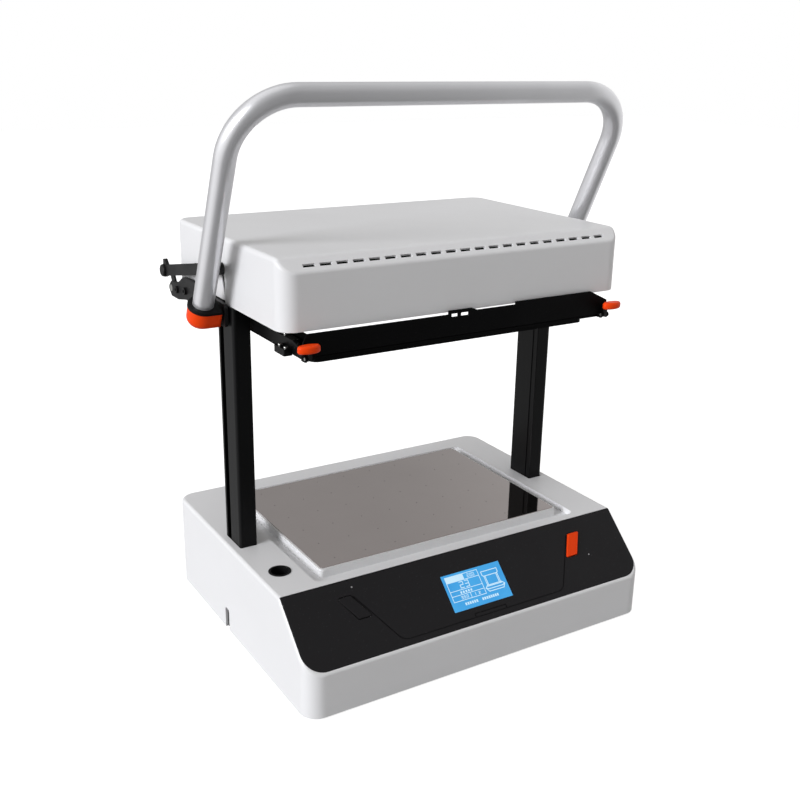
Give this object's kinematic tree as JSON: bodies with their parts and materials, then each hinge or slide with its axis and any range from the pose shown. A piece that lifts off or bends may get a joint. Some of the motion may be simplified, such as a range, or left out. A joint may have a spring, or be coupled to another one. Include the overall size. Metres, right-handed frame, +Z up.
{
  "type": "vacuum forming machine",
  "caption": "Desktop vacuum forming machine with a heater head on twin columns, a sliding clamp frame moved by a tilting tube handle, and a sloped control panel.",
  "frame": {"origin": "centre of the base cover's footprint, on the table under the feet", "axes": "+X to the user's right, +Y to the back of the machine, +Z up"},
  "size_m": [0.497, 0.3663, 0.6039],
  "materials": {
    "white_shell": "satin white moulding",
    "panel_black": "matt black",
    "black_plastic": "matt black",
    "orange_plastic": "glossy orange",
    "clear_light": "clear, unlit",
    "screen_glass": "clear polished",
    "display_blue": "lit blue display",
    "board_green": "circuit board",
    "platen_steel": "fine polished steel",
    "reflector_steel": "bright",
    "dark_steel": "black powder coat",
    "black_steel": "black powder coat",
    "bright_steel": "zinc plated",
    "black_aluminium": "black anodised",
    "silver_tube": "satin anodised",
    "fan_metal": "plain",
    "rubber": "matt black",
    "white_seal": "white silicone",
    "heater_glass": "quartz",
    "ceramic": "glazed white ceramic",
    "blanket": "woven fibre blanket"
  },
  "bodies": {
    "base": {"base_shell": "white_shell", "bottom_plate": "dark_steel", "rubber_feet": "rubber", "control_panel": "panel_black", "panel_lights": "clear_light", "screen_glass": "screen_glass", "display_module": "display_blue", "button_switches": "board_green", "sensor_bezel": "black_plastic", "sensor_cup": "panel_black", "platen": "platen_steel", "platen_seal": "white_seal", "vacuum_chamber": "black_plastic", "inlet_seal": "rubber", "motor_can": "black_plastic", "motor_winding": "dark_steel", "control_board": "board_green", "power_board": "board_green", "power_inlet": "black_plastic", "switch_frame": "black_plastic", "columns": "black_aluminium", "column_brackets": "dark_steel", "head_shell": "white_shell", "vent_baffle": "black_plastic", "arch_liners": "black_plastic", "arch_covers": "white_shell", "head_chassis": "dark_steel", "heater_reflector": "reflector_steel", "heater_tubes": "heater_glass", "heater_holders": "ceramic", "heater_guard": "reflector_steel", "insulation_blanket": "blanket"},
    "carriage": {"lower_frame": "black_steel", "upper_frame": "black_steel", "lower_gasket": "rubber", "upper_gasket": "rubber", "side_rails": "black_aluminium", "carriage_plates": "black_steel", "slide_shoes": "black_plastic", "latch_pins": "bright_steel", "frame_screws": "bright_steel", "plate_bolts": "black_steel"},
    "handle": {"handle_tube": "silver_tube", "handle_collars": "black_plastic", "end_caps": "orange_plastic", "handle_pins": "bright_steel", "link_pins": "black_steel"},
    "tie_links": {"links": "black_steel"},
    "rear_rocker": {"hinge_shaft": "bright_steel", "rocker_levers": "black_steel", "rear_pins": "black_steel"},
    "right_latch": {"latch_right": "bright_steel", "latch_thumb_right": "orange_plastic"},
    "left_latch": {"latch_left": "bright_steel", "latch_thumb_left": "orange_plastic"},
    "start_key": {"start_button": "orange_plastic"},
    "menu_key": {"menu_button": "panel_black"},
    "power_key": {"power_rocker": "black_plastic"},
    "fan": {"suction_fan": "fan_metal"}
  },
  "joints": [
    {"name": "carriage_slide", "type": "slide", "parent": "base", "child": "carriage", "axis": [0, 0, -1], "range_m": [0, 0.24]},
    {"name": "handle_tilt", "type": "hinge", "parent": "carriage", "child": "handle", "pos_m": [0, 0.0321, 0.37116], "axis": [1, 0, 0], "range_deg": [0, 34]},
    {"name": "link_swing", "type": "hinge", "parent": "handle", "child": "tie_links", "pos_m": [0, 0.01376, 0.42166], "axis": [1, 0, 0], "range_deg": [-28.06, 0]},
    {"name": "rocker_turn", "type": "hinge", "parent": "carriage", "child": "rear_rocker", "pos_m": [0, 0.172, 0.37], "axis": [1, 0, 0], "range_deg": [0, 64.03]},
    {"name": "right_latch_turn", "type": "hinge", "parent": "carriage", "child": "right_latch", "pos_m": [0.1848, -0.1148, 0.3565], "axis": [1, 0, 0], "range_deg": [0, 35]},
    {"name": "left_latch_turn", "type": "hinge", "parent": "carriage", "child": "left_latch", "pos_m": [-0.1848, -0.1148, 0.3565], "axis": [1, 0, 0], "range_deg": [0, 35]},
    {"name": "start_press", "type": "slide", "parent": "base", "child": "start_key", "axis": [0, 0.682, -0.7314], "range_m": [0, 0.0015], "stiffness_N_per_m": 500, "springref_m": -0.0005},
    {"name": "menu_press", "type": "slide", "parent": "base", "child": "menu_key", "axis": [0, 0.682, -0.7314], "range_m": [0, 0.0015], "stiffness_N_per_m": 500, "springref_m": -0.0005},
    {"name": "power_rock", "type": "hinge", "parent": "base", "child": "power_key", "pos_m": [-0.105, 0.1735, 0.04], "axis": [1, 0, 0], "range_deg": [0, 12]},
    {"name": "fan_spin", "type": "hinge", "parent": "base", "child": "fan", "pos_m": [0.06, 0.02585, 0.09], "axis": [0, 0, 1], "continuous": true}
  ],
  "couplings": [
    {"joint": "handle_tilt", "follows": "carriage_slide", "rad_per_m": 2.4725},
    {"joint": "link_swing", "follows": "carriage_slide", "rad_per_m": -2.04},
    {"joint": "rocker_turn", "follows": "carriage_slide", "rad_per_m": 4.6556}
  ]
}
